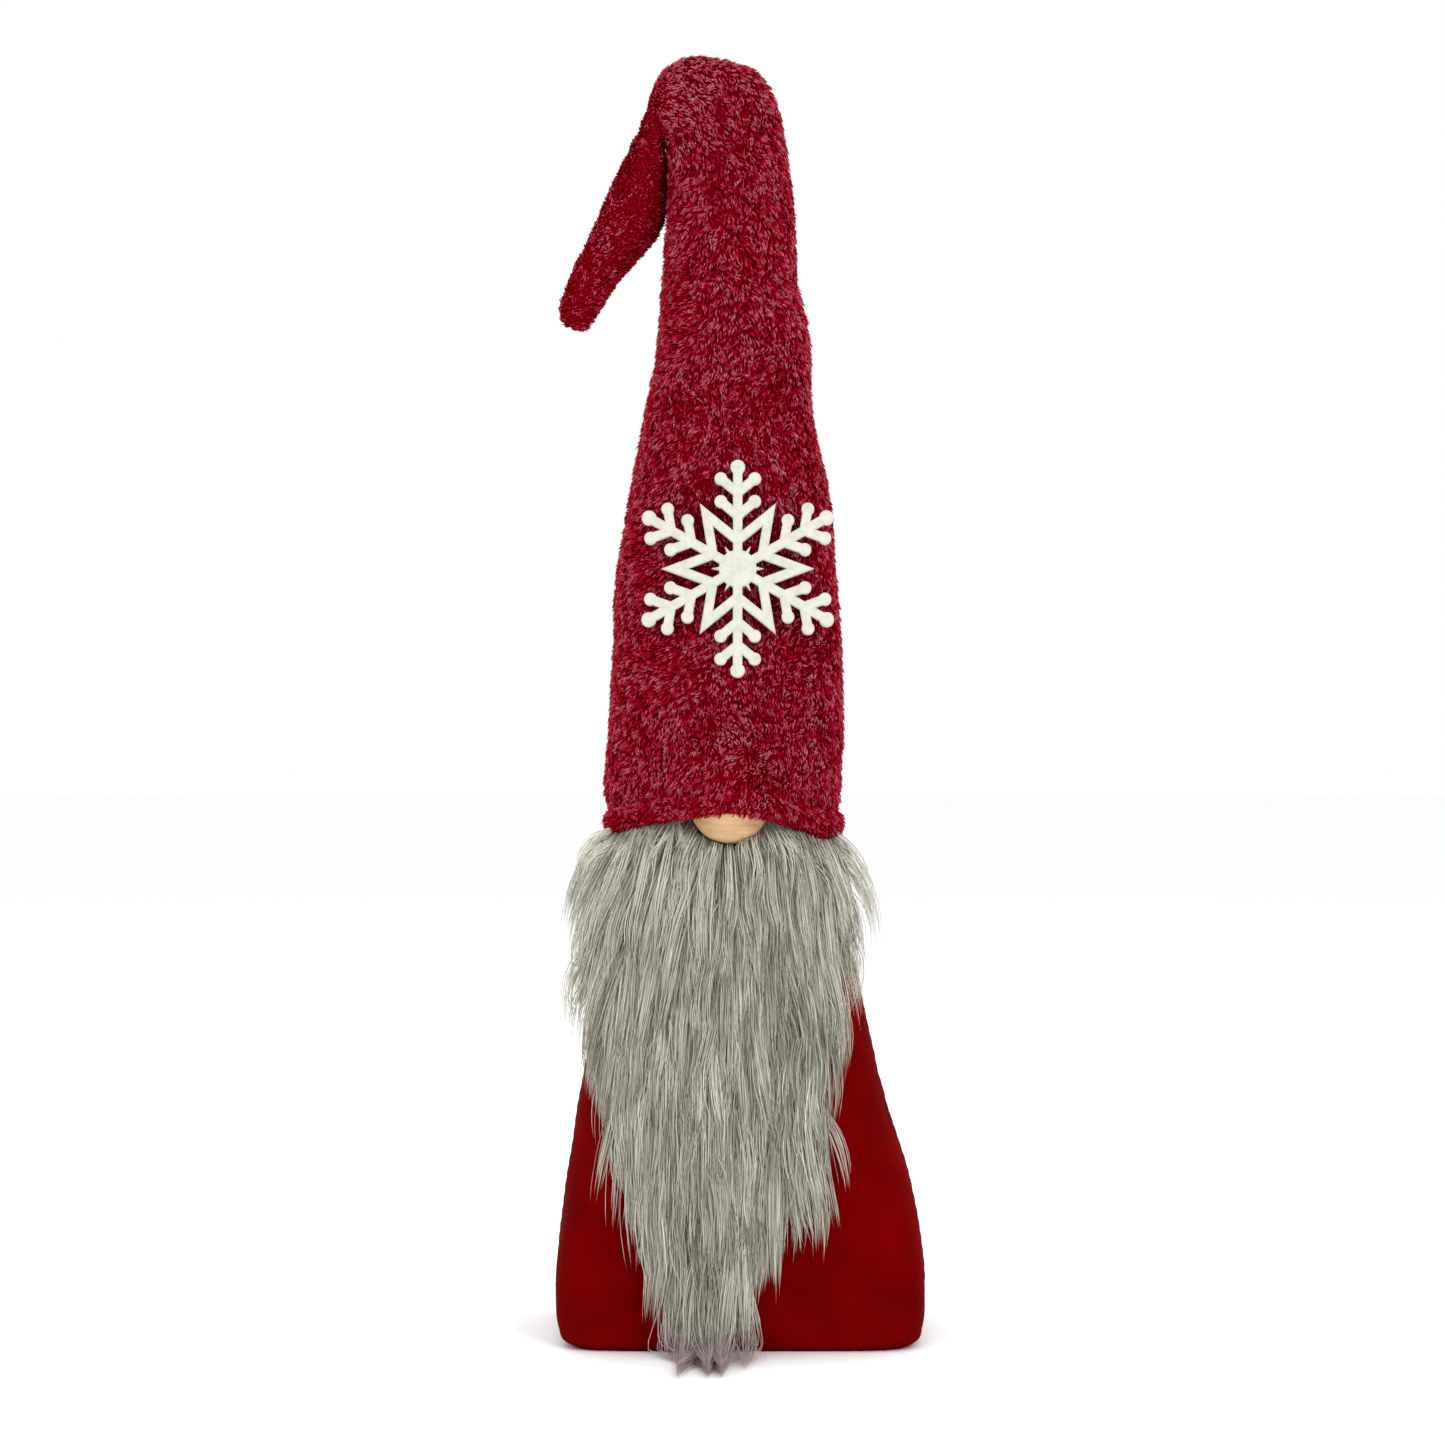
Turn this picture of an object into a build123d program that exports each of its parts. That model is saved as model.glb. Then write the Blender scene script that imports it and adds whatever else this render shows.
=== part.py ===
from build123d import *
from math import atan2, cos, degrees, pi, radians, sin, tan
import os

# Tomte gnome figurine: a weighted velour body, a long fur beard, a wooden ball nose and a
# tall stuffed plush hat whose tip is folded over.
# Millimetres. Origin at the middle of the base on the surface it stands on, +Z up,
# the front faces -Y, +X is the viewer's right.

# ---- driving dimensions ----
cloth = 1.5  # velour of the body
plush = 3.0  # hat cloth with its pile
tip_cloth = 1.8  # the same cloth where the pile is pressed flat in the narrow tip
gap = 0.3  # between soft pieces that are not fixed to each other
touch = 0.05  # between glued or packed curved faces

board_thickness = 2.5
ballast_height = 34.0
bag_margin = 10.0  # from the body's skin to the bag
bag_round = 8.0
bag_cloth = 0.8
neck_height = 231.0  # waist of the gathered top
tie_radius = 1.6

hat_low = 184.0  # lower edge of the hat at its sides and back
hat_arch_rise = 9.0  # how far the nose lifts the edge at the front
hat_arch_half = 40.0
filling_low = 246.0
wire_radius = 1.0
wire_bore = 1.2

nose_radius = 14.25
nose_x = -4.0
nose_y = -41.0
nose_z = 195.5
nose_flat_y = -36.4  # the ball is cut flat behind its middle
nose_glue_radius = 8.0
nose_seat = 8.0  # from the middle of the ball back into the hat

beard_hinge_y = -36.0
beard_hinge_z = 181.0
beard_top = 208.0
backing_cloth = 1.2
backing_gap = 1.0  # between the hanging flap and the body
pile_depth = 15.0
pile_low = 4.0
pile_back_y = -20.0  # the fur wraps round the sides as far as this
fur_bevel = 28.0  # degrees; the fur thins towards the hinge, to clear the nose when lifted
fur_bevel_drop = 40.0
fur_foot_x = -25.0  # left side of the locks that lie forward on the surface below
fur_foot_width = 32.0

flake_x = -1.0
flake_z = 280.0
flake_thickness = 3.0
flake_stand_off = 1.2  # glue between the plate and the plush
flake_turn = -0.9  # degrees, clockwise as seen from the front
flake_arm = 36.9  # centre to the middle of the end disc
flake_stem = 3.4
flake_disc = 2.65
flake_small_disc = 2.3
flake_kite_tip = 27.4
flake_kite_root = 12.5
flake_strip = 3.4
flake_hub = 6.8
flake_spike_tip = 9.4
flake_spike_root = 3.2
flake_eased_edge = 0.4  # the front edges are sanded off before painting
# two pairs of twigs on each arm: root along the arm, end along the arm, end to the side
FLAKE_TWIGS = ((27.6, 32.7, 6.1), (19.2, 24.4, 6.1))

fold_x = -32.5  # middle of the crease where the tip folds over
fold_z = 442.5
fold_y = 6.0
fold_clearance = 8.0  # radius kept free round the crease

# height, half width, half depth, centre x, squareness of the outline
BODY_SECTIONS = (
    (0.0, 62.5, 43.0, 0.0, 4.0),
    (5.0, 66.8, 46.6, 0.0, 4.0),
    (18.0, 68.2, 48.0, 0.0, 4.0),
    (45.0, 65.2, 47.0, -0.5, 3.9),
    (71.0, 59.6, 44.5, -1.7, 3.7),
    (98.0, 53.4, 41.5, -3.2, 3.4),
    (130.0, 46.6, 37.5, -5.0, 3.1),
    (165.0, 41.0, 34.0, -6.2, 2.8),
    (195.0, 38.2, 32.6, -6.8, 2.8),
    (214.0, 36.2, 31.0, -6.2, 2.8),
    (224.0, 25.0, 22.5, -6.0, 2.3),
    (231.0, 13.0, 12.5, -6.0, 2.0),
    (236.0, 14.5, 13.5, -6.0, 2.0),
    (242.0, 19.0, 17.0, -6.0, 2.0),
)
HAT_SECTIONS = (
    (184.0, 44.3, 38.6, -6.4, 2.8),
    (190.0, 44.6, 38.8, -6.6, 2.8),
    (196.0, 43.3, 38.0, -6.9, 2.8),
    (218.0, 43.2, 37.2, -5.6, 2.9),
    (245.0, 42.0, 35.0, -4.6, 3.0),
    (271.0, 40.4, 32.6, -5.0, 3.1),
    (298.0, 37.8, 30.4, -4.8, 3.1),
    (325.0, 33.2, 28.2, -4.7, 2.8),
    (351.0, 28.8, 26.0, -3.8, 2.4),
    (378.0, 26.0, 24.2, -3.8, 2.2),
    (405.0, 24.0, 22.0, -3.8, 2.2),
    (431.0, 22.4, 19.5, -4.4, 2.2),
)
# the bend at the top, one flattened section after another
BEND_SECTIONS = (
    (431.0, 22.4, 19.5, -4.4, 2.2),
    (440.0, 22.8, 18.0, -5.4, 2.3),
    (450.0, 24.0, 16.6, -8.6, 2.4),
    (458.0, 22.0, 14.6, -11.0, 2.4),
    (465.0, 17.0, 11.0, -12.4, 2.3),
    (470.0, 9.0, 5.0, -14.0, 2.2),
)
# the hanging tip: x, y, z of the centre line, half width across the fold, half depth
TIP_SECTIONS = (
    (-32.5, 6.0, 442.5, 6.6, 14.0),
    (-39.0, 6.5, 425.0, 8.4, 12.0),
    (-45.4, 7.0, 404.0, 10.4, 10.6),
    (-53.6, 7.0, 390.0, 8.0, 8.6),
    (-60.0, 6.5, 377.5, 6.0, 6.4),
    (-62.6, 6.5, 371.5, 3.6, 3.8),
)
# the beard's lowest locks, seen from the side: y, z
FUR_FOOT = (
    (-52.0, 3.0),
    (-52.0, 40.0),
    (-63.0, 30.0),
    (-74.0, 13.0),
    (-86.0, 5.5),
    (-86.0, 2.5),
)
# outline of the beard, clockwise from the top left: x, z
BEARD_OUTLINE = (
    (-54.0, 181.0),
    (-60.0, 160.0),
    (-60.0, 118.0),
    (-52.0, 75.0),
    (-44.0, 38.0),
    (-26.0, 4.0),
    (6.0, 4.0),
    (22.0, 24.0),
    (36.0, 60.0),
    (43.0, 110.0),
    (44.0, 160.0),
    (42.0, 181.0),
)

# outline of the beard's knitted backing, which the fur hangs below
BACKING_OUTLINE = (
    (-46.0, 181.0),
    (-50.0, 150.0),
    (-44.0, 95.0),
    (-31.0, 62.0),
    (-14.0, 45.0),
    (3.0, 50.0),
    (20.0, 78.0),
    (34.0, 105.0),
    (38.0, 140.0),
    (38.0, 181.0),
)

OUTLINE_POINTS = 16
far = 120.0  # past the object on any side, for cuts
os.makedirs("parts", exist_ok=True)


def outline(half_width, half_depth, squareness, centre_x=0.0):
    """Points of a rounded outline: squareness 2 is an ellipse, more is nearer to a rectangle."""
    points = []
    for step in range(OUTLINE_POINTS):
        angle = 2 * pi * step / OUTLINE_POINTS
        bulge = (abs(cos(angle)) ** squareness + abs(sin(angle)) ** squareness) ** (-1 / squareness)
        points.append((centre_x + half_width * bulge * cos(angle), half_depth * bulge * sin(angle)))
    return points


def form(sections, grow, low=None, high=None):
    """Upright soft form through the sections, grown sideways, and cut to a height range."""
    with BuildPart() as shape:
        for height, half_width, half_depth, centre_x, squareness in sections:
            with BuildSketch(Plane.XY.offset(height)):
                with BuildLine():
                    Spline(
                        *outline(half_width + grow, half_depth + grow, squareness, centre_x),
                        periodic=True,
                    )
                make_face()
        loft()
        if low is not None:
            split(bisect_by=Plane.XY.offset(low), keep=Keep.TOP)
        if high is not None:
            split(bisect_by=Plane.XY.offset(high), keep=Keep.BOTTOM)
    return shape.part


def tip_planes():
    """One plane per tip section, square to the tip's centre line."""
    planes = []
    for index, (x, y, z, _, _) in enumerate(TIP_SECTIONS):
        before = TIP_SECTIONS[max(index - 1, 0)]
        after = TIP_SECTIONS[min(index + 1, len(TIP_SECTIONS) - 1)]
        along = Vector(after[0] - before[0], 0, after[2] - before[2])
        planes.append(Plane(origin=(x, y, z), x_dir=along.cross(Vector(0, 1, 0)), z_dir=along))
    return planes


def tip_form(shrink):
    """The hanging tip as a solid, shrunk sideways for what is inside it."""
    with BuildPart() as shape:
        for plane, (_, _, _, half_width, half_depth) in zip(tip_planes(), TIP_SECTIONS):
            with BuildSketch(plane):
                with BuildLine():
                    Spline(*outline(half_width - shrink, half_depth - shrink, 2.0), periodic=True)
                make_face()
        loft()
    return shape.part


def rod(points, bends, radius):
    """A round wire along straight runs joined by arcs."""
    with BuildPart() as wire:
        with BuildLine() as path:
            FilletPolyline(*points, radius=bends)
        with BuildSketch(Plane(origin=path.line @ 0, z_dir=path.line % 0)):
            Circle(radius)
        sweep()
    return wire.part


def save(sub_part, label):
    """Label a finished piece and write its STEP file."""
    sub_part.part.label = label
    export_step(sub_part.part, f"parts/{label}.step")
    return sub_part.part


# ---- base ----
base_top = cloth + board_thickness

with BuildPart() as base_cover:
    add(form(BODY_SECTIONS, 0.0, high=cloth))
save(base_cover, "base_cover")

with BuildPart() as base_board:
    add(form(BODY_SECTIONS, -cloth - gap, low=cloth, high=base_top))
save(base_board, "base_board")

# ---- ballast: a low flat bag of pellets on the board ----
def bag_form(inset):
    """The bag's rounded form, inset on every side."""
    with BuildPart() as shape:
        low = base_top + inset
        high = base_top + ballast_height - inset
        add(form(BODY_SECTIONS, -bag_margin - inset, low=low, high=high))
        fillet(shape.faces().sort_by(Axis.Z)[-1].edges(), bag_round - inset)
    return shape.part


with BuildPart() as ballast_bag:
    add(bag_form(0.0))
    add(bag_form(bag_cloth), mode=Mode.SUBTRACT)
save(ballast_bag, "ballast_bag")

with BuildPart() as ballast_pellets:
    add(bag_form(bag_cloth + touch))
save(ballast_pellets, "ballast_pellets")

# ---- body: front and back panels, joined by the side seams ----
body_top = BODY_SECTIONS[-1][0]


def body_panel(keep):
    """Half of the body's skin, closed at the gathered top."""
    with BuildPart() as panel:
        add(form(BODY_SECTIONS, 0.0, low=cloth))
        add(form(BODY_SECTIONS, -cloth, high=body_top - cloth), mode=Mode.SUBTRACT)
        split(bisect_by=Plane.XZ, keep=keep)
    return panel


body_front_panel = body_panel(Keep.TOP)
save(body_front_panel, "body_front_panel")

body_back_panel = body_panel(Keep.BOTTOM)
save(body_back_panel, "body_back_panel")

with BuildPart() as body_filling:
    add(form(BODY_SECTIONS, -cloth - gap, low=base_top + touch, high=neck_height - 3.0))
    add(
        form(BODY_SECTIONS, gap - bag_margin, high=base_top + ballast_height + gap),
        mode=Mode.SUBTRACT,
    )
save(body_filling, "body_filling")

with BuildPart() as neck_tie:
    with BuildSketch(Plane.XZ.shift_origin((-6.0, 0, neck_height))):
        with Locations((13.0 + gap + tie_radius, 0)):
            Circle(tie_radius)
    revolve(axis=Axis((-6.0, 0, 0), (0, 0, 1)))
save(neck_tie, "neck_tie")

# ---- hat ----
fold_axis = Axis((fold_x, 0, fold_z), (0, 1, 0))
fold_plane = Plane(origin=(fold_x, 0, fold_z), x_dir=(1, 0, 0), z_dir=(0, -1, 0))
arch_radius = (hat_arch_half**2 + hat_arch_rise**2) / (2 * hat_arch_rise)
arch_centre_z = hat_low + hat_arch_rise - arch_radius
nose_plane = Plane(origin=(nose_x, nose_y, nose_z), x_dir=(1, 0, 0), z_dir=(0, -1, 0))

with BuildPart() as hat_shell:
    add(form(HAT_SECTIONS, 0.0))
    add(form(BEND_SECTIONS, 0.0))
    # the cloth stands out over the nose
    with Locations((nose_x, nose_y, nose_z)):
        Sphere(nose_radius + gap + plush)
    with BuildSketch(nose_plane):
        Circle(nose_radius + gap + plush)
    extrude(amount=-nose_seat)
    add(form(HAT_SECTIONS, -plush), mode=Mode.SUBTRACT)
    add(form(BEND_SECTIONS, -plush, high=BEND_SECTIONS[-1][0] - plush), mode=Mode.SUBTRACT)
    with Locations((nose_x, nose_y, nose_z)):
        Sphere(nose_radius + gap, mode=Mode.SUBTRACT)
    with BuildSketch(nose_plane):
        Circle(nose_radius + gap)
    extrude(amount=-nose_seat, mode=Mode.SUBTRACT)
    # the front edge rises in a low arch over the nose
    with BuildSketch(Plane.XZ):
        with Locations((nose_x, arch_centre_z)):
            Circle(arch_radius)
    extrude(amount=far, mode=Mode.SUBTRACT)
    # room for the crease
    with BuildSketch(fold_plane):
        Circle(fold_clearance)
    extrude(amount=far, both=True, mode=Mode.SUBTRACT)
save(hat_shell, "hat_shell")

wire_points = (
    (-5.0, 0.0, filling_low - 4.0),
    (-4.5, 0.0, 340.0),
    (-5.0, 2.0, 440.0),
    (-13.0, 4.0, 458.0),
    (fold_x + 9.0, fold_y, fold_z + 5.0),
)
wire_bends = [120.0, 20.0, 8.0]

with BuildPart() as hat_wire:
    add(rod(wire_points, wire_bends, wire_radius))
save(hat_wire, "hat_wire")

with BuildPart() as hat_filling:
    add(form(HAT_SECTIONS, -plush - gap, low=filling_low))
    add(form(BEND_SECTIONS, -plush - gap, high=BEND_SECTIONS[-1][0] - plush - 1.0))
    with BuildSketch(fold_plane):
        Circle(fold_clearance + gap)
    extrude(amount=far, both=True, mode=Mode.SUBTRACT)
    add(rod(wire_points, wire_bends, wire_bore), mode=Mode.SUBTRACT)
save(hat_filling, "hat_filling")

with BuildPart() as hat_glue_bead:
    add(form(HAT_SECTIONS, -plush - touch, low=209.5, high=212.5))
    add(form(BODY_SECTIONS, touch, low=205.0, high=220.0), mode=Mode.SUBTRACT)
save(hat_glue_bead, "hat_glue_bead")

# ---- hat tip, which turns at the crease ----
with BuildPart() as hat_tip_shell:
    add(tip_form(0.0))
    add(tip_form(tip_cloth), mode=Mode.SUBTRACT)
    # the stitched end
    with BuildSketch(tip_planes()[-1]):
        Circle(TIP_SECTIONS[-1][-1] - gap / 2)
    extrude(amount=-tip_cloth)
save(hat_tip_shell, "hat_tip_shell")

tip_wire_points = [section[:3] for section in TIP_SECTIONS[:5]]
tip_wire_bends = [60.0, 25.0, 60.0]

with BuildPart() as hat_tip_wire:
    add(rod(tip_wire_points, tip_wire_bends, wire_radius))
save(hat_tip_wire, "hat_tip_wire")

with BuildPart() as hat_tip_filling:
    add(tip_form(tip_cloth + gap))
    add(rod(tip_wire_points, tip_wire_bends, wire_bore), mode=Mode.SUBTRACT)
    split(bisect_by=tip_planes()[-2], keep=Keep.BOTTOM)
save(hat_tip_filling, "hat_tip_filling")

# ---- beard: a strip glued under the hat, and the flap that hangs from it ----
root_gap = 0.35  # glue between the strip and the body
root_back_y = -28.0
strip_outer = root_gap + backing_cloth


def front_layer(inner, outer, low, high, back_y=pile_back_y):
    """Layer that follows the front of the body, between two offsets and two heights."""
    with BuildPart() as layer:
        add(form(BODY_SECTIONS, outer, low=low, high=high))
        add(form(BODY_SECTIONS, inner), mode=Mode.SUBTRACT)
        split(bisect_by=Plane.XZ.offset(-back_y), keep=Keep.TOP)
    return layer.part


with BuildPart() as beard_root:
    add(front_layer(root_gap, strip_outer, beard_hinge_z + gap, beard_top, root_back_y))
save(beard_root, "beard_root")

with BuildPart() as beard_glue:
    add(front_layer(touch, root_gap - touch, beard_top - 12.0, beard_top - 4.0, root_back_y))
save(beard_glue, "beard_glue")


def front_prism(corners):
    """An outline seen from the front, carried from the middle to past the front."""
    with BuildPart() as prism:
        with BuildSketch(Plane.XZ):
            with BuildLine():
                Polyline(*corners, close=True)
            make_face()
        extrude(amount=far)
    return prism.part


with BuildPart() as beard_backing:
    add(front_layer(backing_gap, backing_gap + backing_cloth, pile_low, beard_hinge_z))
    add(front_prism(BACKING_OUTLINE), mode=Mode.INTERSECT)
save(beard_backing, "beard_backing")

with BuildPart() as beard_pile:
    add(front_layer(backing_gap + backing_cloth + touch, pile_depth, pile_low, beard_hinge_z))
    add(front_prism(BEARD_OUTLINE), mode=Mode.INTERSECT)
    # the lowest locks are longer than the body is tall, and turn forward over the surface
    with BuildSketch(Plane.YZ.offset(fur_foot_x)):
        with BuildLine():
            Polyline(*FUR_FOOT, close=True)
        make_face()
    extrude(amount=fur_foot_width)
    with BuildSketch(Plane.YZ):
        with BuildLine():
            Polyline(
                (beard_hinge_y, beard_top),
                (beard_hinge_y, beard_hinge_z),
                (
                    beard_hinge_y - fur_bevel_drop * tan(radians(fur_bevel)),
                    beard_hinge_z - fur_bevel_drop,
                ),
                (-far, beard_hinge_z - fur_bevel_drop),
                (-far, beard_top),
                close=True,
            )
        make_face()
    extrude(amount=far, both=True, mode=Mode.SUBTRACT)
save(beard_pile, "beard_pile")

# ---- nose ----
with BuildPart() as nose:
    with Locations((nose_x, nose_y, nose_z)):
        Sphere(nose_radius)
    split(bisect_by=Plane.XZ.offset(-nose_flat_y), keep=Keep.TOP)
save(nose, "nose")

with BuildPart() as nose_glue:
    with BuildSketch(Plane.XZ.offset(-nose_flat_y).shift_origin((nose_x, nose_flat_y, nose_z))):
        Circle(nose_glue_radius)
    extrude(amount=-6.0)
    add(form(BODY_SECTIONS, strip_outer + touch), mode=Mode.SUBTRACT)
save(nose_glue, "nose_glue")

# ---- snowflake ----
# the hat's front leans back by this angle where the plate lies
lower, upper = HAT_SECTIONS[4], HAT_SECTIONS[7]
flake_lean = atan2(lower[2] - upper[2], upper[0] - lower[0])
flake_front = -(lower[2] + (upper[2] - lower[2]) * (flake_z - lower[0]) / (upper[0] - lower[0]))
flake_back = Plane(
    origin=(flake_x, flake_front - flake_stand_off, flake_z),
    x_dir=(1, 0, 0),
    z_dir=(0, -cos(flake_lean), sin(flake_lean)),
).rotated((0, 0, flake_turn))


def star(points, outer, inner):
    """Corners of a star with a point on the X axis."""
    corners = []
    for step in range(2 * points):
        radius = outer if step % 2 == 0 else inner
        angle = pi * step / points
        corners.append((radius * cos(angle), radius * sin(angle)))
    return corners


# the star's band is a strip of one width, so its inner corners step back by these
kite_half = atan2(
    flake_kite_root * sin(pi / 6),
    flake_kite_tip - flake_kite_root * cos(pi / 6),
)
tip_step = flake_strip / sin(kite_half)
root_step = flake_strip / sin(kite_half + pi / 6)


def twig(root, end, side):
    """A twig's strip and the disc at its end, beside an arm that runs along X."""
    run = Vector(end - root, side)
    lean = degrees(atan2(run.Y, run.X))
    with Locations(Location(((root + end) / 2, side / 2, 0), (0, 0, lean))):
        Rectangle(run.length, flake_strip)
    with Locations((end, side)):
        Circle(flake_small_disc)


with BuildPart() as snowflake:
    with BuildSketch(flake_back):
        # band in the shape of a six-pointed star, between the arms
        with BuildLine():
            Polyline(*star(6, flake_kite_tip, flake_kite_root), close=True)
        make_face()
        with BuildLine():
            Polyline(*star(6, flake_kite_tip - tip_step, flake_kite_root - root_step), close=True)
        make_face(mode=Mode.SUBTRACT)
        # hub with a short spike into each point of the band
        Circle(flake_hub)
        with BuildLine():
            Polyline(*star(6, flake_spike_tip, flake_spike_root), close=True)
        make_face()
        with PolarLocations(0, 6, start_angle=30):
            with Locations((flake_arm / 2, 0)):
                Rectangle(flake_arm, flake_stem)
            with Locations((flake_arm, 0)):
                Circle(flake_disc)
            for root, end, side in FLAKE_TWIGS:
                twig(root, end, side)
                twig(root, end, -side)
    extrude(amount=flake_thickness)
    front = snowflake.faces().sort_by(Axis(flake_back.origin, flake_back.z_dir))[-1]
    chamfer(front.edges(), flake_eased_edge)
save(snowflake, "snowflake")

with BuildPart() as snowflake_glue:
    with BuildSketch(flake_back):
        Circle(3.5)
        with Locations((0, 20.0), (0, -20.0)):
            Circle(2.5)
    extrude(amount=-8.0)
    add(form(HAT_SECTIONS, touch), mode=Mode.SUBTRACT)
save(snowflake_glue, "snowflake_glue")
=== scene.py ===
import math
import bpy
import numpy as np
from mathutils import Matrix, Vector, noise
from mathutils.kdtree import KDTree


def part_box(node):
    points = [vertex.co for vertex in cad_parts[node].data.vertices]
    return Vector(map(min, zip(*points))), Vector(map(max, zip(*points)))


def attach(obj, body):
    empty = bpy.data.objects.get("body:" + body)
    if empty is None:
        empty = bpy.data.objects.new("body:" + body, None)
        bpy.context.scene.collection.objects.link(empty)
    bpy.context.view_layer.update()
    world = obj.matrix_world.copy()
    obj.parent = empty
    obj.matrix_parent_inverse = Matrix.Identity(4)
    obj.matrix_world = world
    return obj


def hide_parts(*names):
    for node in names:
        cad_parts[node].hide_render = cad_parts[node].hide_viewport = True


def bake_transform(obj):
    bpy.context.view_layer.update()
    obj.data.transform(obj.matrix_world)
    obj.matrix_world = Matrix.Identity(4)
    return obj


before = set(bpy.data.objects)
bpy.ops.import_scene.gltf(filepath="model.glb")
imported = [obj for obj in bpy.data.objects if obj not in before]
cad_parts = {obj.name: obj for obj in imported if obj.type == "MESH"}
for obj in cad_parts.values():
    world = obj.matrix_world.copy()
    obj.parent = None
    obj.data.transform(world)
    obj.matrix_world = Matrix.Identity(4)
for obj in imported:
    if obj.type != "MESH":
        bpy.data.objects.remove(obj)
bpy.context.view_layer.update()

# Tomte gnome figurine, in the frame of the CAD model: origin at the middle of the base, +Z up,
# the front faces -Y. Lengths are in metres, except in the tables of rings, edges and floor
# locks, in the roots and locks of the fur, and where a comment says mm.

MM = 0.001
SEED = 7
random = np.random.default_rng(SEED)


def middle(node):
    """Middle of a CAD node's box."""
    low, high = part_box(node)
    return (Vector(low) + Vector(high)) / 2


# ---- camera and light ----
CAMERA_PLACE = (-0.0065, -1.2, 0.2248)  # level, straight in front, at about half height
CAMERA_LENS = 80.6
SENSOR_WIDTH = 36.0
WORLD_STRENGTH = 1.0
# name, place, the point it is aimed at, size, power in watts
LIGHTS = (
    ("key", (0.75, -1.25, 1.05), (0, 0, 0.22), 0.6, 8.8),
    ("fill", (-1.0, -1.1, 0.5), (0, 0, 0.22), 1.1, 3.1),
    ("top", (0.1, 0.2, 1.5), (0, 0, 0.2), 0.8, 5.0),
    ("rim", (-0.5, 1.0, 0.8), (0, 0, 0.3), 0.7, 3.5),
)

camera_data = bpy.data.cameras.new("camera")
camera_data.lens = CAMERA_LENS
camera_data.sensor_width = SENSOR_WIDTH
camera = bpy.data.objects.new("camera", camera_data)
bpy.context.scene.collection.objects.link(camera)
camera.location = CAMERA_PLACE
camera.rotation_euler = (math.radians(90), 0, 0)
bpy.context.scene.camera = camera


def area_light(name, place, aim, size, power):
    """Square soft light that points from its place at the aim."""
    data = bpy.data.lights.new(name, "AREA")
    data.size = size
    data.energy = power
    lamp = bpy.data.objects.new(name, data)
    bpy.context.scene.collection.objects.link(lamp)
    lamp.location = place
    lamp.rotation_euler = (Vector(aim) - Vector(place)).to_track_quat("-Z", "Y").to_euler()


for light in LIGHTS:
    area_light(*light)
world = bpy.data.worlds.new("studio")
world.use_nodes = True
background = world.node_tree.nodes["Background"]
background.inputs["Color"].default_value = (1, 1, 1, 1)
background.inputs["Strength"].default_value = WORLD_STRENGTH
bpy.context.scene.world = world
bpy.context.scene.view_settings.view_transform = "Standard"


# ---- small mesh and maths helpers ----
def link(name, mesh):
    """Object for a mesh, in the scene."""
    piece = bpy.data.objects.new(name, mesh)
    bpy.context.scene.collection.objects.link(piece)
    return piece


def mesh_from_faces(name, points, faces):
    """Smooth mesh from points in metres and lists of corners."""
    mesh = bpy.data.meshes.new(name)
    mesh.from_pydata([tuple(p) for p in points], [], faces)
    mesh.polygons.foreach_set("use_smooth", np.ones(len(mesh.polygons), bool))
    mesh.update()
    return mesh


def through(knots, values, at):
    """Smooth curve through rows of values at the knots (cubic, slopes from both neighbours)."""
    knots = np.asarray(knots, float)
    values = np.asarray(values, float)
    if values.ndim == 1:
        return through(knots, values[:, None], at)[:, 0]
    step = np.diff(knots)[:, None]
    slope = np.diff(values, axis=0) / step
    tangent = np.empty_like(values)
    tangent[0], tangent[-1] = slope[0], slope[-1]
    tangent[1:-1] = (slope[:-1] * step[1:] + slope[1:] * step[:-1]) / (step[1:] + step[:-1])
    at = np.clip(np.asarray(at, float), knots[0], knots[-1])
    index = np.clip(np.searchsorted(knots, at, side="right") - 1, 0, len(knots) - 2)
    width = step[index]
    u = ((at - knots[index])[:, None]) / width
    v0, v1 = values[index], values[index + 1]
    m0, m1 = tangent[index] * width, tangent[index + 1] * width
    return (
        (2 * u**3 - 3 * u**2 + 1) * v0
        + (u**3 - 2 * u**2 + u) * m0
        + (3 * u**2 - 2 * u**3) * v1
        + (u**3 - u**2) * m1
    )


def smoothstep(low, high, value):
    """0 below low, 1 above high, smooth between."""
    u = np.clip((np.asarray(value, float) - low) / (high - low), 0, 1)
    return u * u * (3 - 2 * u)


def bell(away, width):
    """1 where away is 0, and close to 0 from two widths on."""
    return np.exp(-((away / width) ** 2))


def unit(vectors):
    """Vectors at length one."""
    return vectors / np.maximum(np.linalg.norm(vectors, axis=-1, keepdims=True), 1e-12)


def bulge(angle, squareness):
    """Radius of a rounded outline of half size one, at an angle."""
    power = np.abs(np.cos(angle)) ** squareness + np.abs(np.sin(angle)) ** squareness
    return power ** (-1 / squareness)


def ripple(points, scale, seed):
    """Smooth noise from -1 to 1 at each point, with features of about the scale in metres."""
    shift = Vector((seed * 3.1, seed * 1.7, seed * 2.3))
    flat = points.reshape(-1, 3)
    found = [noise.noise(Vector(p) / scale + shift) for p in flat]
    return np.array(found).reshape(points.shape[:-1])


def grid_normals(grid):
    """Outward normals of a closed ring grid (rings, around, 3)."""
    along = np.gradient(grid, axis=0)
    around = np.roll(grid, -1, axis=1) - np.roll(grid, 1, axis=1)
    return unit(np.cross(around, along))


def tube_faces(rings, around):
    """Quads of a grid of closed rings, and a fan at each end."""
    faces = []
    for ring in range(rings - 1):
        low, high = ring * around, (ring + 1) * around
        for step in range(around):
            after = (step + 1) % around
            faces.append((low + step, low + after, high + after, high + step))
    first, last = rings * around, rings * around + 1
    top = (rings - 1) * around
    for step in range(around):
        after = (step + 1) % around
        faces.append((first, after, step))
        faces.append((last, top + step, top + after))
    return faces


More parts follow.
